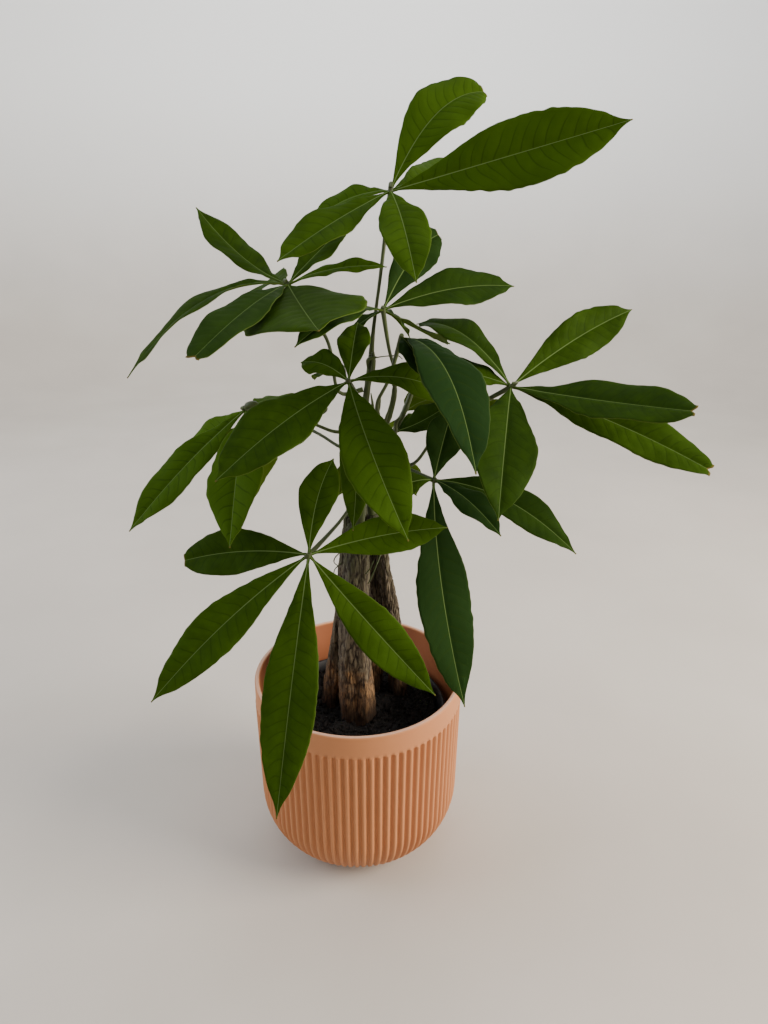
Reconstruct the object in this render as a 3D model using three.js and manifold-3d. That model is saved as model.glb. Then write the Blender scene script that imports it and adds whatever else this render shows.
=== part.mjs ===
import * as THREE from "three";
import { mergeVertices } from "three/addons/utils/BufferGeometryUtils.js";
import Module from "manifold-3d";

const wasm = await Module();
wasm.setup();

// A money tree: four young trees in a nursery pot, which stands in a ribbed cover pot.
// Millimetres, +Z up, the origin in the middle of the cover pot's foot. The side that faces -Y is the front.

// Cover pot: a straight ribbed wall on a rounded foot, with a smooth band under the rim.
const potHeight = 125;
const potRadius = 70;
const potWaist = 68.5; // radius where the wall starts to round in
const footRadius = 29;
const footHeight = 40; // height of the rounding
const potWall = 3.2;
const potFloor = 5;
const bandHeight = 15;
const ribCount = 85;
const ribDepth = 1.7;
const ribFade = 0.4; // share of the rib depth that is left where the ribs start under the foot
const hollowSegments = 48;

// Nursery pot: thin and tapered, with a rolled rim and drain holes.
const nurseryTop = 99;
const nurseryRadius = 59;
const nurseryFoot = 42;
const nurseryBase = 8.2;
const nurseryWall = 1;
const rimRoll = 2; // how far the rolled rim stands out
const rimRollHeight = 4;
const drainCount = 6;
const drainRadius = 4;
const drainCircle = 27;
const nurserySegments = 36;

// Soil: filled to a little below the nursery pot's rim.
const soilTop = 92;
const soilLumps = 1.5;
const soilShoulder = 3; // how far the soil's top edge is rounded off
const soilGap = 0.6; // clears the flats of the nursery pot's wall
const soilRings = [36, 18];
const soilSegments = 24;

// Gap between pieces that touch.
const seat = 0.3;
const stalkSeat = 0.85; // for a flat stalk foot on a round shoot

// Trunks: foot and top of the axis, how far its middle sways off the straight line, and the two radii.
const trunkDepth = 40; // how deep a trunk stands in the soil
const trunkRise = 236; // height where bark gives way to green shoot
const barkSides = 14;
const barkRows = 11;
const barkDepth = 0.08; // furrows, as a share of the radius
const trunks = [
  { name: "trunk_left", foot: [-26, 10], top: [-4, 9], sway: [2, 3], thick: 8.8, slim: 4.8, seed: 1 },
  { name: "trunk_front", foot: [2, 0], top: [2, -7], sway: [-3.8, -2], thick: 14.5, slim: 8.2, seed: 2 },
  { name: "trunk_middle", foot: [1, 30], top: [3, 19], sway: [10, 1], thick: 9.5, slim: 4.6, seed: 3 },
  { name: "trunk_right", foot: [28.5, 25], top: [10, 11], sway: [5.5, 2], thick: 8, slim: 4.2, seed: 4 },
];

// Green shoots: each grows from the top of its trunk and carries the leaf stalks.
const shootSides = 8;
const shootRows = 6;
const shoots = [
  { name: "shoot_left", top: [10, 3, 341], lean: [0.1, 0, 1], thick: 3.2, slim: 1.7 },
  { name: "shoot_front", top: [14, -18, 308], lean: [0, -0.1, 1], thick: 3.4, slim: 1.8 },
  { name: "shoot_middle", top: [24, 2, 322], lean: [0, -0.2, 1], thick: 3, slim: 1.6 },
  { name: "shoot_right", top: [35, 22, 314], lean: [0.3, 0.1, 1], thick: 2.8, slim: 1.6 },
];

// Leaves: leaflets spread like fingers from the hub at the end of a stalk.
const bladeThick = 0.8;
const bladeFold = 0.09; // rise of a half blade towards its edge, for its width
const bladeBelly = 0.05; // bulge of a half blade, for its width
const waveHeight = 1.1;
const waveCount = 2.6;
const waveWidth = 4; // a blade waves only where its half width is more than this
const bladeSpacing = 16; // length between the rows of a blade
const bladeRows = [5, 10]; // fewest and most rows
const broadBlade = 31; // a blade wider than this is split in four across, any other in two
const bladeTip = 0.8; // half width at the two ends
const footTaper = 1.3; // how slender a blade starts, which also puts its widest place beyond the middle
const tipCut = 0.45; // how much a pointed tip is drawn in
const bluntTip = 0.14; // half width of a blunt tip, for the width of its blade
const stalkRadius = 1.25;
const stalkSides = 5;
const stalkSpacing = 14; // length between the rows of a stalk
const stalkKnee = 0.2; // share of its length that a stalk goes straight out before it bends up
const stalkFoot = { length: 0.12, swell: 1.35 };
const hubRadius = 2.3;

// One leaflet: where its tip is, its width, how far its middle stands above the straight line to the hub,
// how far the blade is rolled about its midrib in degrees, whether its tip is blunt, how far its middle
// stands to the side, and how far its two sides hang.
function leaflet(x, y, z, wide, arch, roll = 0, blunt = false, aside = 0, droop = 0) {
  return { tip: [x, y, z], wide, arch, roll, blunt, aside, droop };
}

// One leaf: its shoot, how far up the shoot its stalk starts, its hub, the way its upper side looks,
// and its leaflets.
const leaves = [
  {
    name: "leaf_top", shoot: 0, grip: 1, hub: [21, 4, 431], faces: [0, -0.7, 1],
    blades: [
      leaflet(75, 40, 486, 34, 12, 10, true, -2.5),
      leaflet(146, -12, 465, 37, 0, 42),
      leaflet(-36, -48, 396, 26, 1, 0, false, 1.5),
      leaflet(-26, 22, 414, 22, 5),
      leaflet(33, -66, 387, 26, 6),
      leaflet(84, 92, 448, 32, 4),
    ],
  },
  {
    name: "leaf_upper_left", shoot: 0, grip: 0.8, hub: [-36, -10, 382], faces: [-0.4, -0.5, 1],
    blades: [
      leaflet(-91, 20, 423, 25, -6, 30),
      leaflet(-5, 30, 413, 20, 1, 12),
      leaflet(19, -22, 392, 13, 4),
      leaflet(-12, -95, 368, 63, -1, -14, false, 0, 0.32),
      leaflet(-69, -100, 356, 26, 5, -14, true, -3),
      leaflet(-125, -28, 333, 26, 17, 12),
      leaflet(-70, 70, 366, 28, 6),
    ],
  },
  {
    name: "leaf_crown", shoot: 2, grip: 1, hub: [17, -9, 368], faces: [0.1, -0.4, 1],
    blades: [
      leaflet(97, 30, 378, 28, 5, 20),
      leaflet(50, 30, 408, 25, 7, 40, true),
      leaflet(-26, -72, 357, 18, 7),
      leaflet(-10, 2, 347, 14, 2),
      leaflet(33, 8, 350, 16, 3),
      leaflet(62, 80, 335, 28, 0),
    ],
  },
  {
    name: "leaf_bent", shoot: 1, grip: 1, hub: [27, -20, 354], faces: [0.2, -0.5, 1],
    blades: [
      leaflet(60, -108, 304, 38, 16, -12, false, -5),
      leaflet(38, -56, 338, 16, 4),
      leaflet(80, 40, 320, 24, 2),
    ],
  },
  {
    name: "leaf_right", shoot: 3, grip: 0.46, hub: [90, -18, 326], faces: [0.3, -0.5, 1],
    blades: [
      leaflet(168, 22, 365, 26, 4, 30),
      leaflet(174, -72, 325, 33, -1, 10, true),
      leaflet(191, -62, 290, 31, 4, 14, true),
      leaflet(76, -82, 270, 36, 7),
      leaflet(46, -12, 334, 24, 3),
      leaflet(38, 32, 355, 30, 12),
    ],
  },
  {
    name: "leaf_front", shoot: 0, grip: 0.7, hub: [-1, -52, 336], faces: [-0.1, -0.7, 1],
    blades: [
      leaflet(3, -18, 362, 18, 3),
      leaflet(-28, -30, 342, 19, 4),
      leaflet(-62, -104, 299, 35, 4),
      leaflet(29, -112, 272, 32, 7, -5, false, 4),
      leaflet(71, -38, 314, 24, 10),
      leaflet(-24, 2, 326, 16, 6),
      leaflet(1, -72, 260, 18, 4, 0, false, -3),
    ],
  },
  {
    name: "leaf_left", shoot: 0, grip: 0.55, hub: [-64, -6, 310], faces: [-0.5, -0.9, 0.9],
    blades: [
      leaflet(-126, -50, 250, 27, 4),
      leaflet(-65, -72, 250, 35, 7),
      leaflet(-40, 52, 302, 22, 4),
      leaflet(-122, 32, 254, 28, 3),
    ],
  },
  {
    name: "leaf_low", shoot: 1, grip: 0.25, hub: [-23, -70, 245], faces: [-0.1, -1, 0.7],
    blades: [
      leaflet(-11, -34, 288, 22, 3, 0, false, -2.5),
      leaflet(-97, -48, 231, 26, 4, 0, true),
      leaflet(-108, -96, 170, 26, 3, 0, false, 2),
      leaflet(-39, -124, 118, 30, 5),
      leaflet(46, -86, 167, 25, 4, 0, false, 3),
      leaflet(54, -42, 249, 23, 3),
    ],
  },
  {
    name: "leaf_low_right", shoot: 2, grip: 0.48, hub: [47, -20, 270], faces: [0.4, -0.8, 0.8],
    blades: [
      leaflet(58, -8, 310, 24, 2),
      leaflet(66, -60, 140, 36, 7, 0, false, 5.5),
      leaflet(127, -50, 236, 25, 8, 0, false, -3),
      leaflet(80, -70, 256, 20, 5),
      leaflet(13, -45, 264, 16, 5),
    ],
  },
  {
    name: "leaf_small", shoot: 2, grip: 0.66, hub: [25, 5, 293], faces: [0.2, -0.6, 1],
    blades: [
      leaflet(59, 14, 309, 20, -2),
      leaflet(50, 30, 296, 14, 2),
    ],
  },
  {
    name: "leaf_back_right", shoot: 3, grip: 0.72, hub: [64, 62, 298], faces: [0.4, 0.6, 1],
    blades: [
      leaflet(122, 96, 262, 32, 6),
      leaflet(98, 140, 240, 36, 8),
      leaflet(60, 150, 250, 34, 8),
      leaflet(34, 108, 280, 24, 6),
      leaflet(112, 52, 290, 22, 4),
    ],
  },
  {
    name: "leaf_back_left", shoot: 0, grip: 0.42, hub: [-50, 48, 291], faces: [-0.5, 0.6, 1],
    blades: [
      leaflet(-106, 88, 254, 30, 4),
      leaflet(-100, 112, 192, 34, 5),
      leaflet(-90, 130, 216, 32, 6),
      leaflet(-74, 122, 250, 24, 6),
    ],
  },
  {
    name: "leaf_back_low", shoot: 3, grip: 0.2, hub: [14, 62, 262], faces: [0, 1, 0.8],
    blades: [
      leaflet(-18, 108, 212, 26, 4),
      leaflet(8, 142, 182, 34, 5),
      leaflet(44, 118, 208, 28, 4),
      leaflet(30, 92, 280, 20, 3),
    ],
  },
];

const vector = (point) => new THREE.Vector3(...point);

// A closed geometry as a solid that can be joined and cut.
function solid(geometry) {
  const bare = new THREE.BufferGeometry();
  bare.setAttribute("position", geometry.getAttribute("position"));
  bare.setIndex(geometry.index);
  const merged = mergeVertices(bare, 1e-4);
  const vertProperties = new Float32Array(merged.getAttribute("position").array);
  const triVerts = new Uint32Array(merged.index.array);
  return new wasm.Manifold(new wasm.Mesh({ numProp: 3, vertProperties, triVerts }));
}

// A named mesh of a solid.
function mesh(name, body, colour, roughness) {
  const { vertProperties, triVerts } = body.getMesh();
  const geometry = new THREE.BufferGeometry();
  geometry.setAttribute("position", new THREE.BufferAttribute(new Float32Array(vertProperties), 3));
  geometry.setIndex(new THREE.BufferAttribute(new Uint32Array(triVerts), 1));
  geometry.computeVertexNormals();
  const material = new THREE.MeshStandardMaterial({ color: colour, roughness, metalness: 0 });
  const made = new THREE.Mesh(geometry, material);
  made.name = name;
  return made;
}

// A turned body about Z from a profile of [radius, height] points, each vertex then moved by reshape.
function turned(profile, segments, reshape = () => {}) {
  const outline = profile.map(([radius, height]) => new THREE.Vector2(radius, height));
  const geometry = new THREE.LatheGeometry(outline, segments);
  geometry.rotateX(Math.PI / 2);
  const places = geometry.getAttribute("position");
  const point = new THREE.Vector3();
  for (let i = 0; i < places.count; i += 1) {
    point.fromBufferAttribute(places, i);
    reshape(point);
    places.setXYZ(i, point.x, point.y, point.z);
  }
  return solid(geometry);
}

// A solid round bar along a curve: radiusAt gives its radius for a share of the length and an angle.
function bar(curve, sides, rows, radiusAt) {
  const geometry = new THREE.CylinderGeometry(1, 1, 1, sides, rows);
  const places = geometry.getAttribute("position");
  const point = new THREE.Vector3();
  const east = new THREE.Vector3();
  const north = new THREE.Vector3();
  for (let i = 0; i < places.count; i += 1) {
    point.fromBufferAttribute(places, i);
    const share = point.y + 0.5;
    const angle = Math.atan2(point.z, point.x);
    const spread = Math.hypot(point.x, point.z) * radiusAt(share, angle);
    const along = curve.getTangent(share);
    north.set(0, 1, 0).addScaledVector(along, -along.y).normalize();
    east.crossVectors(north, along);
    point.copy(curve.getPoint(share));
    point.addScaledVector(east, spread * Math.cos(angle));
    point.addScaledVector(north, -spread * Math.sin(angle));
    places.setXYZ(i, point.x, point.y, point.z);
  }
  return solid(geometry);
}

// A curve from one end to the other whose middle is moved by sway.
function swayed(from, to, sway) {
  const middle = from.clone().add(to).multiplyScalar(0.5).addScaledVector(sway, 2);
  return new THREE.QuadraticBezierCurve3(from, middle, to);
}

// Rounded foot of the cover pot from its flat bottom to the straight wall, as [radius, height] points.
function roundedFoot(bottom, waist) {
  return [0, 0.25, 0.5, 0.75, 1].map((share) => {
    const angle = (share * Math.PI) / 2;
    const radius = footRadius + (waist - footRadius) * Math.sin(angle);
    return [radius, bottom + (footHeight - bottom) * (1 - Math.cos(angle))];
  });
}

// Cover pot: each rib is a crest between two grooves, which fade out under the foot and stop at the band.
function coverPot() {
  const ribTop = potHeight - bandHeight;
  const wall = [[potRadius, ribTop], [potRadius, ribTop + 1], [potRadius, potHeight], [0, potHeight]];
  const body = turned([[0, 0], ...roundedFoot(0, potWaist), ...wall], ribCount * 2, (point) => {
    const radius = Math.hypot(point.x, point.y);
    const step = Math.round((Math.atan2(point.x, -point.y) * ribCount) / Math.PI);
    if (step % 2 !== 0 && point.z > 1 && point.z < ribTop + 0.5) {
      const depth = ribDepth * Math.min(1, ribFade + point.z / footHeight);
      point.x *= 1 - depth / radius;
      point.y *= 1 - depth / radius;
    }
  });
  const lip = [[potRadius - potWall, potHeight + 1], [0, potHeight + 1]];
  const hollow = [[0, potFloor], ...roundedFoot(potFloor, potWaist - potWall - ribDepth), ...lip];
  return body.subtract(turned(hollow, hollowSegments));
}

// Radius of the nursery pot's outside at a height.
function nurseryOutside(height) {
  const share = (height - nurseryBase) / (nurseryTop - nurseryBase);
  return nurseryFoot + (nurseryRadius - nurseryFoot) * share;
}

function nurseryPot() {
  const rollFoot = nurseryTop - rimRollHeight;
  const outside = [
    [0, nurseryBase],
    [nurseryFoot, nurseryBase],
    [nurseryOutside(rollFoot), rollFoot],
    [nurseryOutside(rollFoot) + rimRoll, rollFoot + 1],
    [nurseryRadius + rimRoll, nurseryTop],
    [0, nurseryTop],
  ];
  const floor = nurseryBase + nurseryWall;
  const inside = [
    [0, floor],
    [nurseryOutside(floor) - nurseryWall, floor],
    [nurseryRadius - nurseryWall, nurseryTop],
    [nurseryRadius - nurseryWall, nurseryTop + 1],
    [0, nurseryTop + 1],
  ];
  let body = turned(outside, nurserySegments).subtract(turned(inside, nurserySegments));
  for (let i = 0; i < drainCount; i += 1) {
    const angle = (i * 2 * Math.PI) / drainCount;
    const drill = new THREE.CylinderGeometry(drainRadius, drainRadius, 4 * nurseryWall, 10);
    drill.rotateX(Math.PI / 2);
    drill.translate(drainCircle * Math.cos(angle), drainCircle * Math.sin(angle), floor);
    body = body.subtract(solid(drill));
  }
  return body;
}

// Furrows run up the bark in a few uneven folds, and fade out at the cut ends.
function furrow(share, angle, seed) {
  const folds = Math.sin(5 * angle + seed + 3 * share) + 0.6 * Math.sin(3 * angle - 2 * seed - 7 * share);
  const knots = 0.5 * Math.sin(2 * angle + 17 * share + seed);
  return barkDepth * (folds + knots) * Math.min(1, 6 * (1 - share));
}

// The axis of a trunk, from its foot in the soil to where the green shoot starts.
function trunkCurve({ foot, top, sway }, extra = 0) {
  const from = new THREE.Vector3(...foot, soilTop - trunkDepth - extra);
  return swayed(from, new THREE.Vector3(...top, trunkRise), new THREE.Vector3(...sway, 0));
}

// A trunk as it stands, or with grow as the hole that it stands in.
function trunkBody(trunk, grow = 0) {
  const { thick, slim, seed } = trunk;
  return bar(trunkCurve(trunk, grow), barkSides, barkRows, (share, angle) => {
    const taper = slim + (thick - slim) * (1 - share) ** 1.5;
    return taper * (1 + furrow(share, angle, seed)) + grow;
  });
}

function soil() {
  const floor = nurseryBase + nurseryWall + seat;
  const edge = soilTop - soilShoulder;
  const gap = nurseryWall + soilGap;
  const profile = [
    [0, floor],
    [nurseryOutside(floor) - gap, floor],
    [nurseryOutside(edge) - gap, edge],
    [nurseryOutside(soilTop) - gap - soilShoulder, soilTop],
    ...soilRings.map((radius) => [radius, soilTop]),
    [0, soilTop],
  ];
  let body = turned(profile, soilSegments, (point) => {
    if (point.z > edge + 1) {
      const broad = Math.sin(point.x / 5 + 1) * Math.cos(point.y / 6);
      const fine = 0.6 * Math.sin((point.x - point.y) / 3.1);
      point.z += soilLumps * (broad + fine);
    }
  });
  trunks.forEach((trunk) => {
    body = body.subtract(trunkBody(trunk, seat));
  });
  return body;
}

// The axis of a shoot: on from the end of its trunk in the same direction, bending to its own tip.
function shootCurve({ top, lean }, index) {
  const onward = trunkCurve(trunks[index]).getTangent(1);
  const from = new THREE.Vector3(...trunks[index].top, trunkRise).addScaledVector(onward, seat);
  const end = vector(top);
  const third = from.distanceTo(end) / 3;
  const early = from.clone().addScaledVector(onward, third);
  const late = end.clone().addScaledVector(vector(lean).normalize(), -third);
  return new THREE.CubicBezierCurve3(from, early, late, end);
}

const shootCurves = shoots.map(shootCurve);

function shootBody({ thick, slim }, index) {
  return bar(shootCurves[index], shootSides, shootRows, (share) => thick + (slim - thick) * share);
}

// Half width of a blade for a share of its length: a slender foot, widest beyond the middle, a drawn out tip.
function halfWidth(share, wide, blunt) {
  const widest = 0.5 ** (1 / footTaper);
  const bare = (wide / 2) * Math.max(0, Math.sin(Math.PI * share ** footTaper));
  if (share < widest) {
    return Math.max(bladeTip, bare);
  }
  if (blunt) {
    const end = bluntTip * wide * THREE.MathUtils.smoothstep(share, 0.9, 1);
    return Math.max(bladeTip, end, (wide / 2) * ((2 * bare) / wide) ** 0.42);
  }
  const cut = 1 - tipCut * THREE.MathUtils.smoothstep(share, 0.9, 0.985);
  return Math.max(bladeTip, cut * (wide / 2) * ((2 * bare) / wide) ** 0.95);
}

// A thin leaf blade along its midrib, folded along it and waved at the edges. Both faces are split alike.
function bladeBody(hub, faces, { tip, wide, arch, roll, blunt, aside, droop }, seed) {
  const end = vector(tip);
  const bow = end.clone().sub(hub).cross(faces).normalize().multiplyScalar(aside);
  bow.z += arch;
  const curve = swayed(hub, end, bow);
  const rows = THREE.MathUtils.clamp(Math.round(hub.distanceTo(end) / bladeSpacing), ...bladeRows);
  const across = wide > broadBlade ? 4 : 2;
  const places = [];
  for (let i = 0; i <= rows; i += 1) {
    const share = i / rows;
    const centre = curve.getPoint(share);
    const along = curve.getTangent(share);
    const normal = faces.clone().addScaledVector(along, -along.dot(faces)).normalize();
    normal.applyAxisAngle(along, THREE.MathUtils.degToRad(roll));
    const side = new THREE.Vector3().crossVectors(along, normal);
    const half = halfWidth(share, wide, blunt);
    for (let j = 0; j <= across; j += 1) {
      const out = (2 * j) / across - 1;
      const rim = Math.abs(out);
      const curl = waveHeight * rim * rim * Math.sin(2 * Math.PI * waveCount * share + seed + out);
      const wave = half > waveWidth ? curl : 0;
      const hang = (droop * (rim * half) ** 2) / wide;
      const lift = half * (bladeFold * rim + bladeBelly * Math.sin(Math.PI * rim)) + wave - hang;
      [0.5, -0.5].forEach((face) => {
        const place = centre.clone().addScaledVector(side, out * half);
        place.addScaledVector(normal, lift + face * bladeThick);
        places.push(...place.toArray());
      });
    }
  }
  const at = (i, j, face) => 2 * (i * (across + 1) + j) + face;
  const index = [];
  const quad = (a, b, c, d) => index.push(a, b, c, a, c, d);
  for (let i = 0; i < rows; i += 1) {
    for (let j = 0; j < across; j += 1) {
      quad(at(i, j, 0), at(i, j + 1, 0), at(i + 1, j + 1, 0), at(i + 1, j, 0));
      quad(at(i + 1, j + 1, 1), at(i, j + 1, 1), at(i, j, 1), at(i + 1, j, 1));
    }
    quad(at(i, 0, 0), at(i + 1, 0, 0), at(i + 1, 0, 1), at(i, 0, 1));
    quad(at(i, across, 0), at(i, across, 1), at(i + 1, across, 1), at(i + 1, across, 0));
  }
  for (let j = 0; j < across; j += 1) {
    quad(at(0, j, 0), at(0, j, 1), at(0, j + 1, 1), at(0, j + 1, 0));
    quad(at(rows, j, 0), at(rows, j + 1, 0), at(rows, j + 1, 1), at(rows, j, 1));
  }
  const geometry = new THREE.BufferGeometry();
  geometry.setAttribute("position", new THREE.BufferAttribute(new Float32Array(places), 3));
  geometry.setIndex(index);
  return solid(geometry);
}

// A leaf stalk: out of the side of its shoot, or on from its end, and up to the hub.
function stalkBody({ shoot, grip, hub }) {
  const axis = shootCurves[shoot].getPoint(grip);
  const { thick, slim } = shoots[shoot];
  const atTip = grip === 1;
  const end = vector(hub);
  const away = atTip ? shootCurves[shoot].getTangent(1) : end.clone().sub(axis).setZ(0).normalize();
  const reach = atTip ? seat : thick + (slim - thick) * grip + stalkSeat;
  const start = axis.clone().addScaledVector(away, reach);
  const length = start.distanceTo(end);
  const knee = start.clone().addScaledVector(away, stalkKnee * length);
  const middle = start.clone().add(end).multiplyScalar(0.5);
  const path = new THREE.CatmullRomCurve3([start, knee, middle, end]);
  const rows = Math.max(4, Math.round(length / stalkSpacing));
  return bar(path, stalkSides, rows, (share) => {
    return share < stalkFoot.length ? stalkRadius * stalkFoot.swell : stalkRadius;
  });
}

function leafBody(leaf) {
  const hub = vector(leaf.hub);
  const faces = vector(leaf.faces).normalize();
  const knob = new THREE.DodecahedronGeometry(hubRadius).translate(...leaf.hub);
  knob.setIndex([...Array(knob.getAttribute("position").count).keys()]);
  const blades = leaf.blades.map((blade, i) => bladeBody(hub, faces, blade, 2 * i));
  return wasm.Manifold.union([solid(knob), stalkBody(leaf), ...blades]);
}

const plant = new THREE.Group();
plant.add(mesh("cover_pot", coverPot(), "#cf9570", 0.7));
plant.add(mesh("nursery_pot", nurseryPot(), "#1d1e20", 0.5));
plant.add(mesh("soil", soil(), "#2a211a", 1));
trunks.forEach((trunk) => plant.add(mesh(trunk.name, trunkBody(trunk), "#6b5a48", 0.9)));
shoots.forEach((shoot, i) => plant.add(mesh(shoot.name, shootBody(shoot, i), "#55692f", 0.6)));
leaves.forEach((leaf) => plant.add(mesh(leaf.name, leafBody(leaf), "#3b5a1b", 0.5)));

export default plant;
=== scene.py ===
# A money tree: woody trunks, green shoots and fingered leaves, in a nursery pot inside a ribbed cover pot.
import math
from functools import partial

import bpy
from mathutils import Matrix, Vector, noise


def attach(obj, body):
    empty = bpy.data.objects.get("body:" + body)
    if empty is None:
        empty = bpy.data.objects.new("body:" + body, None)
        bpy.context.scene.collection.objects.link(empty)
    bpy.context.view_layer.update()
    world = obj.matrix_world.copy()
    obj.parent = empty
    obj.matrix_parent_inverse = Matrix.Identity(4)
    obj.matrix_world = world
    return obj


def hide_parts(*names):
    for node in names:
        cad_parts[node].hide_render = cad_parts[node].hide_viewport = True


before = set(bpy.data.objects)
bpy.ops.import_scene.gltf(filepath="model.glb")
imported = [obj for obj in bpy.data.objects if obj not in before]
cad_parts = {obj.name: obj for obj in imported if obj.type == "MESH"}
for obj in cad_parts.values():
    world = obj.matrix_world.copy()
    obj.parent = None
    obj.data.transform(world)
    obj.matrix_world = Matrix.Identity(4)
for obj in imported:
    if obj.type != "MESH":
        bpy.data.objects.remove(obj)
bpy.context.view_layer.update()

mm = 0.001  # every size below is in millimetres, every mesh in metres
fullTurn = 2 * math.pi


# Colours are sRGB hex values.
def linear(hexColour):
    shares = [int(hexColour[i:i + 2], 16) / 255 for i in (1, 3, 5)]
    return [c / 12.92 if c <= 0.04045 else ((c + 0.055) / 1.055) ** 2.4 for c in shares] + [1]


# Sets a node's inputs: each to a plain value, a hex colour, a node's output, or a node, for its first output.
def feed(node, inputs):
    for key, value in inputs.items():
        if isinstance(value, bpy.types.Node):
            value = value.outputs[0]
        if isinstance(value, bpy.types.NodeSocket):
            node.id_data.links.new(value, node.inputs[key])
        else:
            node.inputs[key].default_value = linear(value) if str(value).startswith("#") else value


# Adds one node to a shader or geometry tree, which add stands for with its tree filled in.
# A shader node's kind is given without its first word.
def addNode(tree, kind, inputs=None, **settings):
    node = tree.nodes.new(kind if "Node" in kind else "ShaderNode" + kind)
    for name, value in settings.items():
        setattr(node, name, value)
    feed(node, inputs or {})
    return node


def smooth(low, high, value):
    share = min(1, max(0, (value - low) / (high - low)))
    return share * share * (3 - 2 * share)


def pieceName(node):
    first, *rest = node.split("_")
    return first + "".join(word.capitalize() for word in rest)


# A new object in the scene, with some mesh, curve, lamp or camera.
def newObject(name, data):
    thing = bpy.data.objects.new(name, data)
    bpy.context.scene.collection.objects.link(thing)
    return thing


# A mesh from points in millimetres, with one named number for each point where a pattern needs it.
def meshFrom(name, points, faces, numbers=None):
    mesh = bpy.data.meshes.new(name)
    mesh.from_pydata([(x * mm, y * mm, z * mm) for x, y, z in points], [], faces)
    for label, values in (numbers or {}).items():
        mesh.attributes.new(label, "FLOAT", "POINT").data.foreach_set("value", values)
    mesh.shade_smooth()
    return mesh


# A finished piece of the object: it stands for its CAD nodes and rides on the one body.
def finishPiece(name, mesh, slot, *nodes):
    mesh.name = name
    piece = newObject(name, mesh)
    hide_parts(*nodes)
    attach(piece, "root")


# Rings of points about Z, one for each [radius, height] point.
def ringPoints(profile, count):
    points = []
    for radius, height in profile:
        for j in range(count):
            angle = fullTurn * j / count
            points.append((radius * math.cos(angle), radius * math.sin(angle), height))
    return points


# The quads between rings of points, one ring after the other, each closed round.
def ringFaces(rings, count, first):
    faces = []
    for start in range(first, first + (rings - 1) * count, count):
        for j in range(count):
            k = (j + 1) % count
            faces.append((start + j, start + k, start + count + k, start + count + j))
    return faces


# A closed body of revolution about Z. Its outline of [radius, height] points starts and ends on the axis.
def turnedMesh(name, outline, segments, numbers=None):
    inner = outline[1:-1]
    points = [(0, 0, outline[0][1])] + ringPoints(inner, segments) + [(0, 0, outline[-1][1])]
    last = len(points) - 1
    lastRing = last - segments
    faces = [(0, 1 + (j + 1) % segments, 1 + j) for j in range(segments)]
    faces += ringFaces(len(inner), segments, 1)
    faces += [(lastRing + j, lastRing + (j + 1) % segments, last) for j in range(segments)]
    spread = {}
    for label, values in (numbers or {}).items():
        spread[label] = [values[0]] + [v for v in values[1:-1] for j in range(segments)] + [values[-1]]
    return meshFrom(name, points, faces, spread)


# A geometry tree with its inputs, each with its kind. What goes in first is the object's own mesh or curve.
def newGeometryTree(name, inputs):
    tree = bpy.data.node_groups.new(name, "GeometryNodeTree")
    tree.interface.new_socket("Geometry", in_out="INPUT", socket_type="NodeSocketGeometry")
    for label, kind in inputs.items():
        tree.interface.new_socket(label, in_out="INPUT", socket_type="NodeSocket" + kind)
    tree.interface.new_socket("Geometry", in_out="OUTPUT", socket_type="NodeSocketGeometry")
    add = partial(addNode, tree)
    return add, add("NodeGroupInput").outputs, add("NodeGroupOutput")


# Ends a geometry tree, so that its result can be kept as a plain mesh, and returns the tree.
def closeGeometryTree(add, geometry, material, end):
    real = add("GeometryNodeRealizeInstances", {"Geometry": geometry})
    shaded = add("GeometryNodeSetShadeSmooth", {"Geometry": real})
    made = add("GeometryNodeSetMaterial", {"Geometry": shaded, "Material": material})
    feed(end, {"Geometry": made})
    return end.id_data


# The plain mesh that an object's modifiers make of it. The object itself goes.
def plainMesh(thing):
    mesh = bpy.data.meshes.new_from_object(thing.evaluated_get(bpy.context.evaluated_depsgraph_get()))
    thing.modifiers.clear()
    bpy.data.objects.remove(thing)
    return mesh


# The plain mesh that a geometry tree makes of some mesh or curve data.
def grown(data, tree, values):
    thing = newObject("growing", data)
    modifier = thing.modifiers.new("growing", "NODES")
    modifier.node_group = tree
    for item in tree.interface.items_tree:
        if item.in_out == "INPUT" and item.name in values:
            modifier[item.identifier] = values[item.name]
    return plainMesh(thing)


# Several meshes as one, each with its own materials.
def joined(name, meshes):
    things = [newObject(name, mesh) for mesh in meshes]
    with bpy.context.temp_override(active_object=things[0], selected_editable_objects=things):
        bpy.ops.object.join()
    mesh = things[0].data
    bpy.data.objects.remove(things[0])
    return mesh


# How often a pattern of this size repeats in a metre.
def per(size):
    return 1 / (size * mm)


# A material, what adds nodes to it, its shader, and the place on the object that its patterns follow.
def newMaterial(name, settings):
    material = bpy.data.materials.new(name)
    material.use_nodes = True
    shader = material.node_tree.nodes["Principled BSDF"]
    feed(shader, settings)
    add = partial(addNode, material.node_tree)
    return material, add, shader, add("TexCoord").outputs["Object"]


# Lays colours over a first one, each by its share.
def layered(add, colour, layers):
    for share, upper in layers:
        mix = add("Mix", {"Factor": share, "A": colour, "B": upper}, data_type="RGBA")
        colour = mix.outputs["Result"]
    return colour


# Gives a shader its colour. One pattern makes both its roughness and its relief.
def finishShader(add, shader, colour, pattern, look):
    low, high = look["rough"]
    feed(shader, {
        "Base Color": colour, "Roughness": add("MapRange", {"Value": pattern, "To Min": low, "To Max": high}),
        "Normal": add("Bump", {"Height": pattern, "Strength": look["bump"], "Distance": look["depth"] * mm})})


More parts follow.
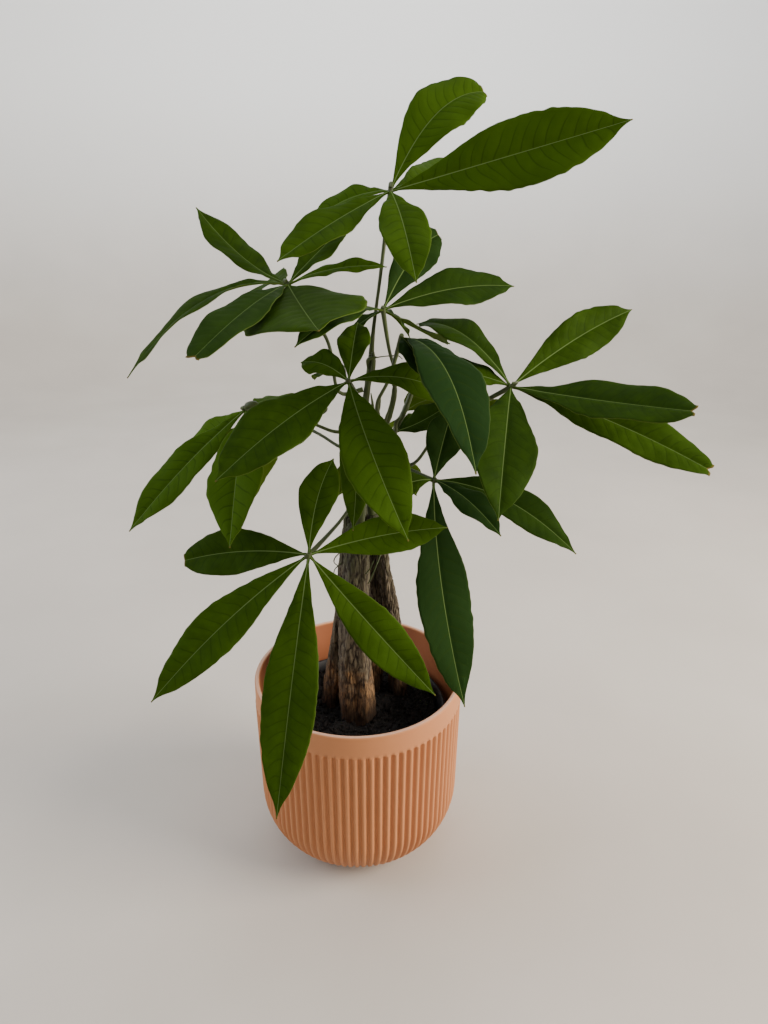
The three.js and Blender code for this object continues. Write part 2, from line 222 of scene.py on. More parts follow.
# Polypropylene, injection moulded and spark eroded matt: even colour, a fine grain, faint cloudy sheen. A
# pale painted highlight runs along the top of the lip, and the inner wall is darkened as painted shade.
def terracottaPlastic():
    look = {
        # the lip colour is a pale painted highlight along the top of the rim
        "base": "#b97b50", "warm": "#b07347", "inside": "#9c5f3e", "lip": "#d9bfae", "lipHighlightShare": 0.4,
        "lipHighlightFoot": 124.7, "lipTop": 124.95, "cloud": 45, "grain": 0.35,
        "rough": (0.5, 0.66), "bump": 0.12, "depth": 0.1,
    }
    material, add, shader, place = newMaterial(
        "mattTerracottaPolypropylene", {"IOR": 1.49, "Specular IOR Level": 0.4})
    cloud = add("TexNoise", {"Vector": place, "Scale": per(look["cloud"]), "Detail": 3})
    # painted shade: the pot's inner wall is darker
    inside = add("Attribute", attribute_name="insideShadeShare").outputs["Fac"]
    height = add("SeparateXYZ", {"Vector": place}).outputs["Z"]
    # painted highlight: the top of the lip, between these two heights, is paler
    lip = add("MapRange", {
        "Value": height, "From Min": look["lipHighlightFoot"] * mm, "From Max": look["lipTop"] * mm,
        "To Max": look["lipHighlightShare"]})
    grain = add("TexNoise", {"Vector": place, "Scale": per(look["grain"]), "Detail": 2})
    colour = layered(add, look["base"], [(cloud, look["warm"]), (inside, look["inside"]), (lip, look["lip"])])
    finishShader(add, shader, colour, grain, look)
    return material


# Black polypropylene, thin and vacuum formed: a dull sheen, with dust and a little lime on it.
def nurseryPlastic():
    look = {"base": "#17181b", "dust": "#3b3a3a", "patch": 6}
    material, add, shader, place = newMaterial(
        "blackFormedPolypropylene", {"IOR": 1.49, "Specular IOR Level": 0.45})
    patches = add("TexNoise", {"Vector": place, "Scale": per(look["patch"]), "Detail": 5, "Roughness": 0.7})
    dust = add("MapRange", {"Value": patches, "From Min": 0.5, "From Max": 0.75, "To Max": 0.6})
    feed(shader, {
        "Base Color": layered(add, look["base"], [(dust, look["dust"])]),
        "Roughness": add("MapRange", {"Value": patches, "To Min": 0.3, "To Max": 0.65})})
    return material


# Potting mix: damp peat and bark fibre, near black, with a few paler crumbs.
def pottingMix():
    look = {
        "wet": "#070504", "crumb": "#1d140e", "crumbSize": 2.2, "rough": (0.98, 0.6), "bump": 0.8,
        "depth": 0.8,
    }
    material, add, shader, place = newMaterial("dampPottingMix", {"Specular IOR Level": 0.3})
    crumbs = add("TexNoise", {
        "Vector": place, "Scale": per(look["crumbSize"]), "Detail": 6, "Roughness": 0.75})
    share = add("MapRange", {"Value": crumbs, "From Min": 0.45, "From Max": 0.75})
    finishShader(add, shader, layered(add, look["wet"], [(share, look["crumb"])]), crumbs, look)
    return material


# Young bark: grey-brown and fibrous, cracked lengthwise; an orange skin near the soil, and darker just above
# the soil; greenish at the top.
def youngBark():
    look = {
        "grey": "#6a5f4c", "dark": "#211811", "orange": "#8f6e4a", "skin": "#664c35", "green": "#474b30",
        "damp": "#1c130c", "fibre": 1.1, "stretch": 9, "patch": 11, "wander": 70,
        # the last zone makes the bark darker towards the soil
        "skinTop": (170, 150), "greenFoot": (210, 270), "lowDarkTop": (112, 94),
        "lowDarkShare": 0.85, "crackShare": 0.7, "rough": (0.95, 0.55), "bump": 0.7, "depth": 0.6,
    }
    material, add, shader, place = newMaterial("fissuredYoungBark", {"Specular IOR Level": 0.3})
    along = add("Mapping", {"Vector": place, "Scale": (1, 1, 1 / look["stretch"])})
    fibre = add("TexNoise", {
        "Vector": along, "Scale": per(look["fibre"]), "Detail": 6, "Roughness": 0.65, "Distortion": 0.4})
    patch = add("TexNoise", {"Vector": place, "Scale": per(look["patch"]), "Detail": 4, "Roughness": 0.6})
    height = add("SeparateXYZ", {"Vector": place}).outputs["Z"]
    # the zones of the bark begin and end unevenly
    wander = add("Math", {0: patch, 1: look["wander"] * mm, 2: height}, operation="MULTIPLY_ADD")
    zone = {}
    for name, value, most in (
            ("skinTop", wander, 1), ("greenFoot", wander, 1), ("lowDarkTop", height, look["lowDarkShare"])):
        start, end = look[name]
        zone[name] = add("MapRange", {
            "Value": value, "From Min": start * mm, "From Max": end * mm, "To Max": most},
            interpolation_type="SMOOTHSTEP")
    gap = add("MapRange", {
        "Value": fibre, "From Min": 0.36, "From Max": 0.58, "To Min": 1, "To Max": 0},
        interpolation_type="SMOOTHSTEP")
    patchShare = add("MapRange", {"Value": patch, "From Min": 0.35, "From Max": 0.65})
    inCrack = add("Attribute", attribute_name="crack").outputs["Fac"]
    crackShare = add("Math", {0: inCrack, 1: look["crackShare"]}, operation="MULTIPLY")
    colour = layered(add, look["grey"], [
        (zone["skinTop"], layered(add, look["orange"], [(patchShare, look["skin"])])),
        (zone["greenFoot"], look["green"]), (gap, look["dark"]), (zone["lowDarkTop"], look["damp"]),
        (crackShare, look["dark"])])
    finishShader(add, shader, colour, fibre, look)
    return material


# Green stem: smooth skin with a waxy sheen, a little browner in streaks along it.
def greenStem():
    look = {
        "green": "#3f5020", "brown": "#2f3318", "streak": 1.5, "stretch": 12, "rough": (0.38, 0.6),
        "bump": 0.25, "depth": 0.2,
    }
    material, add, shader, place = newMaterial("waxyGreenStem", {"IOR": 1.42, "Specular IOR Level": 0.45})
    along = add("Mapping", {"Vector": place, "Scale": (1, 1, 1 / look["stretch"])})
    streak = add("TexNoise", {"Vector": along, "Scale": per(look["streak"]), "Detail": 4})
    finishShader(add, shader, layered(add, look["green"], [(streak, look["brown"])]), streak, look)
    return material


# Leaf tissue: waxy and dark above with a pale midrib and sunken side veins, paler and duller below. A leaf's
# tone paints it paler, for young growth and for painted light, and darker, as painted shade.
def leafTissue():
    look = {
        # deep is painted shade for leaves in shade; young is both the paler green of young growth and painted
        # light for leaves that light falls on
        "deep": "#192c12", "dark": "#22340c", "green": "#2d4210", "young": "#3c5514", "below": "#3c5016",
        "midrib": "#5f7340", "midribWidth": 0.42, "vein": "#1f2f0c", "margin": "#66753a", "tip": "#6b5a2e",
        "mottle": 9, "pucker": 3.5, "cell": 1.1, "reliefDepth": 0.15,
    }
    material, add, shader, place = newMaterial("waxyLeafTissue", {"IOR": 1.45, "Specular IOR Level": 0.01})
    number = {}
    for label in ("veinPhase", "fromMidrib", "alongShare", "edgeShare", "under", "tone"):
        number[label] = add("Attribute", attribute_name=label).outputs["Fac"]
    mottle = add("TexNoise", {"Vector": place, "Scale": per(look["mottle"]), "Detail": 4, "Roughness": 0.6})
    shade = add("MapRange", {"Value": mottle, "From Min": 0.3, "From Max": 0.7})
    # a high tone paints a leaf paler: young growth, and painted light
    youngAndLitShare = add("MapRange", {"Value": number["tone"], "From Min": 0.4, "From Max": 1})
    # painted shade: a low tone darkens the whole leaf
    paintedShadeShare = add("MapRange", {"Value": number["tone"], "From Min": 0.4, "From Max": 0})
    fold = add("Math", {0: number["veinPhase"], 1: 0.5}, operation="PINGPONG")
    line = add("MapRange", {
        "Value": fold, "From Min": 0.09, "From Max": 0.015}, interpolation_type="SMOOTHSTEP")
    fade = add("MapRange", {"Value": number["edgeShare"], "From Min": 0.92, "From Max": 0.5, "To Max": 0.55})
    veinShare = add("Math", {0: line, 1: fade}, operation="MULTIPLY")
    slim = add("MapRange", {"Value": number["alongShare"], "To Min": 1, "To Max": 0.4})
    reach = add("Math", {0: number["fromMidrib"], 1: slim}, operation="DIVIDE")
    ribShare = add("MapRange", {
        "Value": reach, "From Min": look["midribWidth"], "From Max": 0.35 * look["midribWidth"],
        "To Max": 0.85}, interpolation_type="SMOOTHSTEP")
    marginShare = add("MapRange", {
        "Value": number["edgeShare"], "From Min": 0.965, "From Max": 1, "To Max": 0.28})
    tipShare = add("MapRange", {
        "Value": number["alongShare"], "From Min": 0.988, "From Max": 0.998, "To Max": 0.7})
    gloss = add("MapRange", {"Value": number["under"], "To Min": 0.52, "To Max": 0.66})
    cells = add("TexVoronoi", {"Vector": place, "Scale": per(look["cell"])}, feature="DISTANCE_TO_EDGE")
    pucker = add("TexNoise", {"Vector": place, "Scale": per(look["pucker"]), "Detail": 2})
    rumple = add("Math", {0: pucker, 1: 2.5, 2: cells}, operation="MULTIPLY_ADD")
    relief = add("Math", {0: line, 1: -0.5, 2: rumple}, operation="MULTIPLY_ADD")
    feed(shader, {
        "Base Color": layered(add, look["dark"], [
            (shade, look["green"]), (youngAndLitShare, look["young"]), (paintedShadeShare, look["deep"]),
            (veinShare, look["vein"]), (number["under"], look["below"]), (ribShare, look["midrib"]),
            (marginShare, look["margin"]), (tipShare, look["tip"])]),
        "Roughness": add("Math", {0: mottle, 1: 0.12, 2: gloss}, operation="MULTIPLY_ADD"),
        "Normal": add("Bump", {
            "Height": relief, "Strength": 0.35, "Distance": look["reliefDepth"] * mm})})
    return material


# Matt emulsion floor, with a faint roller texture, and a paler wall.
def floorPaint():
    look = {
        "base": "#c5beb5", "cloud": "#b2aba2", "wall": "#f2f4f4", "cloudSize": 180, "wallFoot": 40,
        "wallFull": 900,
    }
    material, add, shader, place = newMaterial(
        "mattFloorPaint", {"Roughness": 0.7, "Specular IOR Level": 0.25})
    height = add("SeparateXYZ", {"Vector": place}).outputs["Z"]
    wall = add("MapRange", {
        "Value": height, "From Min": look["wallFoot"] * mm, "From Max": look["wallFull"] * mm},
        interpolation_type="SMOOTHSTEP")
    cloud = add("TexNoise", {"Vector": place, "Scale": per(look["cloudSize"]), "Detail": 4})
    feed(shader, {"Base Color": layered(add, look["base"], [(cloud, look["cloud"]), (wall, look["wall"])])})
    return material


# The photo's camera, four soft lamps, and a floor that curves up all round into a low wall.
def setStage():
    look = {
        "camera": (16.7, -423.2, 412.5), "pitch": 18.92, "focus": 720, "frame": (768, 1024),
        "centre": (382.5, 473.5), "sensor": 36, "nearest": 10, "sky": "#e6eaee", "skyStrength": 0.48,
        "floorRadius": 1500, "floorRings": 12, "sides": 96, "cove": 700, "coveSteps": 16, "wallTop": 1800,
    }
    lamps = {  # place, aim, size, power, colour
        "overhead": ((0, 350, 1700), (0, 0, 250), 1600, 10, "#ffffff"),
        "windowRight": ((1150, -250, 650), (0, 0, 250), 700, 34, "#fff4e6"),
        "windowLeft": ((-1200, 50, 800), (0, 0, 250), 900, 13, "#f2f6ff"),
        "wallWash": ((0, 1000, 1600), (0, 2200, 500), 900, 20, "#ffffff"),
    }
    scene = bpy.context.scene
    camera = newObject("camera", bpy.data.cameras.new("camera"))
    camera.location = Vector(look["camera"]) * mm
    camera.rotation_euler = (math.radians(90 - look["pitch"]), 0, 0)
    width, height = look["frame"]
    camera.data.sensor_width = look["sensor"]
    camera.data.lens = look["focus"] / height * look["sensor"]
    camera.data.shift_x = (width / 2 - look["centre"][0]) / height
    camera.data.shift_y = (look["centre"][1] - height / 2) / height
    camera.data.clip_start = look["nearest"] * mm
    scene.camera = camera
    for name, (place, aim, size, power, colour) in lamps.items():
        light = bpy.data.lights.new(name, "AREA")
        light.size = size * mm
        light.energy = power
        light.color = linear(colour)[:3]
        holder = newObject(name, light)
        holder.location = Vector(place) * mm
        holder.rotation_euler = (Vector(aim) - Vector(place)).to_track_quat("-Z", "Y").to_euler()
    sky = bpy.data.worlds.new("studioSky")
    sky.use_nodes = True
    background = sky.node_tree.nodes["Background"]
    feed(background, {"Color": look["sky"], "Strength": look["skyStrength"]})
    scene.world = sky
    reach, cove, sides = look["floorRadius"], look["cove"], look["sides"]
    profile = [(reach * i / look["floorRings"], 0) for i in range(1, look["floorRings"])]
    for i in range(look["coveSteps"] + 1):
        angle = math.pi / 2 * i / look["coveSteps"]
        profile.append((reach + cove * math.sin(angle), cove * (1 - math.cos(angle))))
    profile.append((reach + cove, look["wallTop"]))
    points = [(0, 0, 0)] + ringPoints(profile, sides)
    faces = [(0, 1 + j, 1 + (j + 1) % sides) for j in range(sides)]
    faces += [face[::-1] for face in ringFaces(len(profile), sides, 1)]
    floor = newObject("floor", meshFrom("floor", points, faces))
    floor.data.materials.append(floorPaint())


setStage()
print("stage set")


coverPot = {
    "height": 125, "radius": 70, "waist": 68.5, "footRadius": 29, "footHeight": 40, "wall": 3.2, "floor": 5,
    "band": 15, "lip": 1.2, "lipSteps": 6, "ribs": 85, "depth": 1.7, "proud": 0.35, "fade": 0.4,
    "roundEnd": 1.6, "roundSteps": 8, "wallSteps": 10, "footSteps": (20, 12), "stepsPerRib": 10,
}


# Pushes the wall out along the ribs and in between them. Both end in a round under the band.
def ribTree():
    add, given, end = newGeometryTree("potRibs", {
        "Ribs": "Int", "Depth": "Float", "Proud": "Float", "Finish": "Material"})
    place = add("GeometryNodeInputPosition")
    flat = add("VectorMath", {0: place, 1: (1, 1, 0)}, operation="MULTIPLY")
    outward = add("VectorMath", {0: flat}, operation="NORMALIZE")
    part = add("SeparateXYZ", {0: place})
    ahead = add("Math", {0: part.outputs["Y"], 1: -1}, operation="MULTIPLY")
    angle = add("Math", {0: part.outputs["X"], 1: ahead}, operation="ARCTAN2")
    turns = add("Math", {0: angle, 1: given["Ribs"]}, operation="MULTIPLY")
    wave = add("Math", {0: turns}, operation="COSINE")
    raised = add("MapRange", {"Value": wave, "From Min": 1, "From Max": -1})
    groove = add("Math", {0: raised, 1: 1.4}, operation="POWER")
    share = add("GeometryNodeInputNamedAttribute", {"Name": "ribShare"}, data_type="FLOAT")
    # near its end a groove is only as wide as what is left of its round, and so is a rib
    both = add("Math", {0: groove, 1: share}, operation="ADD")
    cut = add("Math", {0: both, 1: 1}, operation="SUBTRACT", use_clamp=True)
    crest = add("Math", {0: share, 1: groove}, operation="SUBTRACT", use_clamp=True)
    depth = add("Math", {0: cut, 1: given["Depth"]}, operation="MULTIPLY")
    proud = add("Math", {0: crest, 1: given["Proud"]}, operation="MULTIPLY")
    push = add("Math", {0: proud, 1: depth}, operation="SUBTRACT")
    offset = add("VectorMath", {0: outward, "Scale": push}, operation="SCALE")
    moved = add("GeometryNodeSetPosition", {"Geometry": given["Geometry"], "Offset": offset})
    return closeGeometryTree(add, moved, given["Finish"], end)


# The rounded foot of the cover pot, from its flat bottom to the straight wall.
def roundedFoot(bottom, waist, steps):
    size = coverPot
    points = []
    for i in range(steps + 1):
        angle = math.pi / 2 * i / steps
        radius = size["footRadius"] + (waist - size["footRadius"]) * math.sin(angle)
        points.append((radius, bottom + (size["footHeight"] - bottom) * (1 - math.cos(angle))))
    return points


# The third number of each place in the outline is how far the ribs show there.
def makeCoverPot():
    size = coverPot
    lip, radius, top, foot = size["lip"], size["radius"], size["height"], size["footHeight"]
    ribTop = top - size["band"]
    wallTop = ribTop - size["roundEnd"]
    outline = [(0, 0, 0), (size["footRadius"] - 3, 0, 0)]
    for reach, height in roundedFoot(0, size["waist"], size["footSteps"][0]):
        outline.append((reach, height, min(1, size["fade"] + height / foot) if height > 0.5 else 0))
    for i in range(1, size["wallSteps"] + 1):
        share = i / size["wallSteps"]
        outline.append((size["waist"] + (radius - size["waist"]) * share, foot + (wallTop - foot) * share, 1))
    for i in range(1, size["roundSteps"] + 1):  # the grooves' round ends
        share = i / size["roundSteps"]
        outline.append((radius, wallTop + size["roundEnd"] * share, math.sqrt(1 - share ** 2)))
    outline.append((radius, ribTop + 2, 0))
    rim = []
    for i in range(size["lipSteps"] + 1):  # the rim is rounded outside and inside
        angle = math.pi / 2 * i / size["lipSteps"]
        rim.append((lip * (1 - math.cos(angle)), top - lip * (1 - math.sin(angle))))
    outline += [(radius - inset, height, 0) for inset, height in rim]
    outline += [(radius - size["wall"] + inset, height, 0) for inset, height in reversed(rim)]
    firstInside = len(outline) - 1
    waist = size["waist"] - size["wall"] - size["depth"]
    for reach, height in reversed(roundedFoot(size["floor"], waist, size["footSteps"][1])):
        outline.append((reach, height, 0))
    outline.append((0, size["floor"], 0))
    # the inner wall, which the finish darkens as painted shade
    inside = [1 if i >= firstInside else 0 for i in range(len(outline))]
    bare = turnedMesh("coverPot", [p[:2] for p in outline], size["ribs"] * size["stepsPerRib"], {
        "ribShare": [p[2] for p in outline], "insideShadeShare": inside})
    made = grown(bare, ribTree(), {
        "Ribs": size["ribs"], "Depth": size["depth"] * mm, "Proud": size["proud"] * mm,
        "Finish": terracottaPlastic()})
    finishPiece("coverPot", made, "cover_pot", "cover_pot")


makeCoverPot()
print("cover pot made")


nurseryPot = {
    "top": 99, "radius": 59, "foot": 42, "base": 8.2, "wall": 1, "roll": 2, "rollHeight": 4, "rollSteps": 8,
    "drains": 6, "drainRadius": 4, "drainCircle": 27, "drainSides": 24, "drillReach": 3, "segments": 144,
}


def nurseryOutside(height):
    size = nurseryPot
    share = (height - size["base"]) / (size["top"] - size["base"])
    return size["foot"] + (size["radius"] - size["foot"]) * share


def makeNurseryPot():
    size = nurseryPot
    rollFoot = size["top"] - size["rollHeight"]
    floor = size["base"] + size["wall"]
    outline = [(0, size["base"]), (size["foot"] - 2, size["base"]), (size["foot"], size["base"] + 1.5)]
    outline += [(nurseryOutside(h), h) for h in (20, 40, 60, 80, rollFoot)]
    for i in range(size["rollSteps"] + 1):  # the rolled rim
        angle = math.pi * (i / size["rollSteps"] - 0.5)
        middle = nurseryOutside(rollFoot) + 0.4
        height = rollFoot + size["roll"] * (1 + math.sin(angle))
        outline.append((middle + size["roll"] * math.cos(angle), height))
    outline.append((size["radius"] - size["wall"], size["top"] - 0.4))
    outline += [(nurseryOutside(h) - size["wall"], h) for h in (90, 60, 30, floor + 2)]
    outline += [(nurseryOutside(floor) - size["wall"] - 2, floor), (0, floor)]
    mesh = turnedMesh("nurseryPot", outline, size["segments"])
    mesh.materials.append(nurseryPlastic())
    pot = newObject("pot", mesh)
    low, high, reach = floor - size["drillReach"], floor + size["drillReach"], size["drainRadius"]
    drillOutline = [(0, low), (reach, low), (reach, high), (0, high)]
    drills = []
    for i in range(size["drains"]):
        angle = fullTurn * i / size["drains"]
        middle = Vector((math.cos(angle), math.sin(angle), 0)) * size["drainCircle"] * mm
        drills.append(turnedMesh("drill", drillOutline, size["drainSides"]))
        drills[-1].transform(Matrix.Translation(middle))
    drill = newObject("drill", joined("drill", drills))
    cut = pot.modifiers.new("drains", "BOOLEAN")
    cut.object = drill
    cut.operation = "DIFFERENCE"
    made = plainMesh(pot)
    bpy.data.objects.remove(drill)
    finishPiece("nurseryPot", made, "nursery_pot", "nursery_pot")


makeNurseryPot()
print("nursery pot made")


bark = {
    "sides": 120, "rows": 380, "depthInSoil": 40, "rise": 236, "furrow": 0.08, "shoulder": 5,
    "plate": 4.5, "plateStretch": 3.5, "plateGap": 0.2, "plateDepth": 0.7,
    "fissure": 1.7, "stretch": 8, "fissureDepth": 0.6, "grain": 0.8, "grainStretch": 3, "grainDepth": 0.22,
    "broad": 6, "broadDepth": 0.5, "smoothBelow": 100, "roughAbove": 150, "taperPower": 1.5, "topShare": 0.65,
}
soilTop = 92
trunks = [
    {"node": "trunk_left", "foot": (-26, 10), "top": (-4, 9), "sway": (2, 3), "thick": 8.8, "slim": 4.8,
     "seed": 1},
    {"node": "trunk_front", "foot": (2, 0), "top": (2, -7), "sway": (-3.8, -2), "thick": 14.5, "slim": 8.2,
     "seed": 2},
    {"node": "trunk_middle", "foot": (1, 30), "top": (3, 19), "sway": (10, 1), "thick": 9.5, "slim": 4.6,
     "seed": 3},
    {"node": "trunk_right", "foot": (28.5, 25), "top": (10, 11), "sway": (5.5, 2), "thick": 8, "slim": 4.2,
     "seed": 4},
]


# A point and a direction on a quadratic curve from start to end whose middle is moved by sway.
def swayed(start, end, sway, share):
    middle = (start + end) / 2 + 2 * sway
    point = (1 - share) ** 2 * start + 2 * share * (1 - share) * middle + share ** 2 * end
    along = 2 * (1 - share) * (middle - start) + 2 * share * (end - middle)
    return point, along.normalized()


def trunkAxis(trunk, share):
    foot = Vector((*trunk["foot"], soilTop - bark["depthInSoil"]))
    return swayed(foot, Vector((*trunk["top"], bark["rise"])), Vector((*trunk["sway"], 0)), share)


# The big folds of the bark, which the solid has too.
def furrow(share, angle, seed):
    folds = math.sin(5 * angle + seed + 3 * share) + 0.6 * math.sin(3 * angle - 2 * seed - 7 * share)
    knots = 0.5 * math.sin(2 * angle + 17 * share + seed)
    return bark["furrow"] * (folds + knots) * min(1, 6 * (1 - share))


# Relief of the bark at a place, and how deep in a crack that place is: long plates with cracks between them,
# finer fissures, and grain. The skin near the soil is smoother.
def barkRelief(point, share, seed):
    size = bark
    offset = Vector((17 * seed, 0, 0))
    bend = 1.2 * noise.noise(point / 9 + offset)
    plates = Vector((point.x + bend, point.y + bend, point.z / size["plateStretch"])) / size["plate"] + offset
    near = noise.voronoi(plates)[0]
    crack = 1 - smooth(0, size["plateGap"], near[1] - near[0])
    fissures = Vector((point.x, point.y, point.z / size["stretch"])) / size["fissure"] + offset
    fissure = max(0, 1 - 2 * abs(noise.noise(fissures))) ** 3
    grain = Vector((point.x, point.y, point.z / size["grainStretch"])) / size["grain"] + offset
    rough = smooth(size["smoothBelow"], size["roughAbove"], point.z) * (1 - 0.4 * smooth(0.7, 1, share))
    deep = size["plateDepth"] * crack * (0.3 + 0.7 * rough)
    deep += size["fissureDepth"] * fissure * (0.4 + 0.6 * rough)
    fine = size["grainDepth"] * noise.fractal(grain, 1, 2, 3)
    broad = size["broadDepth"] * noise.noise(point / size["broad"] + offset)
    return fine + broad - deep, min(1, 0.8 * crack + 0.7 * fissure)


soil = {
    "lumps": 1.5, "shoulder": 3, "gap": 1.6, "rings": 46, "segments": 180, "crumbs": 1500,
    "smallest": 0.5, "largest": 1.8, "seed": 7,
}


# Crumbs of bark and peat lie all over the top of the soil.
def crumbTree():
    add, given, end = newGeometryTree("soilCrumbs", {
        "Density": "Float", "Smallest": "Float", "Largest": "Float", "Seed": "Int", "Finish": "Material"})
    top = add("GeometryNodeInputNamedAttribute", {"Name": "crumbShare"}, data_type="FLOAT")
    spots = add("GeometryNodeDistributePointsOnFaces", {
        "Mesh": given["Geometry"], "Selection": top, "Density": given["Density"], "Seed": given["Seed"]},
        distribute_method="RANDOM")
    crumb = add("GeometryNodeMeshIcoSphere", {"Radius": 1, "Subdivisions": 2})
    place = add("GeometryNodeInputPosition")
    lump = add("TexNoise", {"Vector": place, "Scale": 1.3, "Detail": 1})
    push = add("MapRange", {"Value": lump.outputs["Fac"], "To Min": -0.9, "To Max": 0.9})
    offset = add("VectorMath", {0: place, "Scale": push}, operation="SCALE")
    broken = add("GeometryNodeSetPosition", {"Geometry": crumb, "Offset": offset})
    turn = add("FunctionNodeRandomValue", {
        "Max": (fullTurn, fullTurn, fullTurn), "Seed": given["Seed"]}, data_type="FLOAT_VECTOR")
    scale = add("FunctionNodeRandomValue", {2: given["Smallest"], 3: given["Largest"]}, data_type="FLOAT")
    flat = add("VectorMath", {0: (1.3, 0.8, 0.55), "Scale": scale.outputs[1]}, operation="SCALE")
    crumbs = add("GeometryNodeInstanceOnPoints", {
        "Points": spots.outputs["Points"], "Instance": broken, "Rotation": turn, "Scale": flat})
    both = add("GeometryNodeJoinGeometry")
    for part in (crumbs, given["Geometry"]):
        feed(both, {0: part})
    return closeGeometryTree(add, both, given["Finish"], end)


def makeSoil():
    size = soil
    floor = nurseryPot["base"] + nurseryPot["wall"] + 0.3
    edge = soilTop - size["shoulder"]
    outline = [(0, floor)] + [(nurseryOutside(h) - size["gap"], h) for h in (floor, edge)]
    rim = nurseryOutside(soilTop) - size["gap"] - size["shoulder"]
    outline += [(rim * (1 - i / size["rings"]), soilTop) for i in range(size["rings"])]
    outline.append((0, soilTop))
    top = [0, 0, 0] + [1] * (size["rings"] + 1)
    mesh = turnedMesh("soilFilling", outline, size["segments"], {"crumbShare": top})
    for vertex in mesh.vertices:
        x, y, z = vertex.co / mm
        if z > edge + 1:
            lumps = math.sin(x / 5 + 1) * math.cos(y / 6) + 0.6 * math.sin((x - y) / 3.1)
            fine = noise.fractal(Vector((x, y, 0)) / 3, 1, 2, 4)
            vertex.co.z = (z + size["lumps"] * lumps * 0.8 + 0.5 * fine) * mm
    area = math.pi * (rim * mm) ** 2
    made = grown(mesh, crumbTree(), {
        "Density": size["crumbs"] / area, "Smallest": size["smallest"] * mm, "Largest": size["largest"] * mm,
        "Seed": size["seed"], "Finish": pottingMix()})
    finishPiece("soilFilling", made, "soil", "soil")


makeSoil()
print("soil made")


stem = {
    "seat": 0.3, "sides": 14, "step": 2.5, "stalkSeat": 0.85, "stalkRadius": 1.1, "knee": 0.2,
    "shootSides": 20, "shootStep": 1.2, "places": 40, "scars": 7, "scarSwell": 0.12, "tip": 0.8,
    "growthSides": 8, "growthStep": 0.6,
}
shoots = [
    {"node": "shoot_left", "top": (10, 3, 341), "lean": (0.1, 0, 1), "thick": 3.2, "slim": 1.7},
    {"node": "shoot_front", "top": (14, -18, 308), "lean": (0, -0.1, 1), "thick": 3.4, "slim": 1.8},
    {"node": "shoot_middle", "top": (24, 2, 322), "lean": (0, -0.2, 1), "thick": 3, "slim": 1.6},
    {"node": "shoot_right", "top": (35, 22, 314), "lean": (0.3, 0.1, 1), "thick": 2.8, "slim": 1.6},
]


# A round stem along a curve, as thick as the curve's own radius says, with closed ends.
def stemTree():
    add, given, end = newGeometryTree("stemAlongCurve", {
        "Sides": "Int", "Step": "Float", "Finish": "Material"})
    curve = add("GeometryNodeCurveSplineType", {"Curve": given["Geometry"]}, spline_type="CATMULL_ROM")
    even = add("GeometryNodeResampleCurve", {"Curve": curve, "Length": given["Step"]}, mode="LENGTH")
    ring = add("GeometryNodeCurvePrimitiveCircle", {"Resolution": given["Sides"], "Radius": 1}, mode="RADIUS")
    radius = add("GeometryNodeInputRadius")
    skin = add("GeometryNodeCurveToMesh", {
        "Curve": even, "Profile Curve": ring, "Scale": radius, "Fill Caps": True})
    return closeGeometryTree(add, skin, given["Finish"], end)


stemAlong = stemTree()
stemFinish = greenStem()


# A stem through a few places, each with its radius.
def stemMesh(name, places, step, sides):
    curve = bpy.data.curves.new(name, "CURVE")
    curve.dimensions = "3D"
    line = curve.splines.new("POLY")
    line.points.add(len(places) - 1)
    for knot, (place, radius) in zip(line.points, places):
        knot.co = (*(Vector(place) * mm), 1)
        knot.radius = radius * mm
    return grown(curve, stemAlong, {"Sides": sides, "Step": step * mm, "Finish": stemFinish})


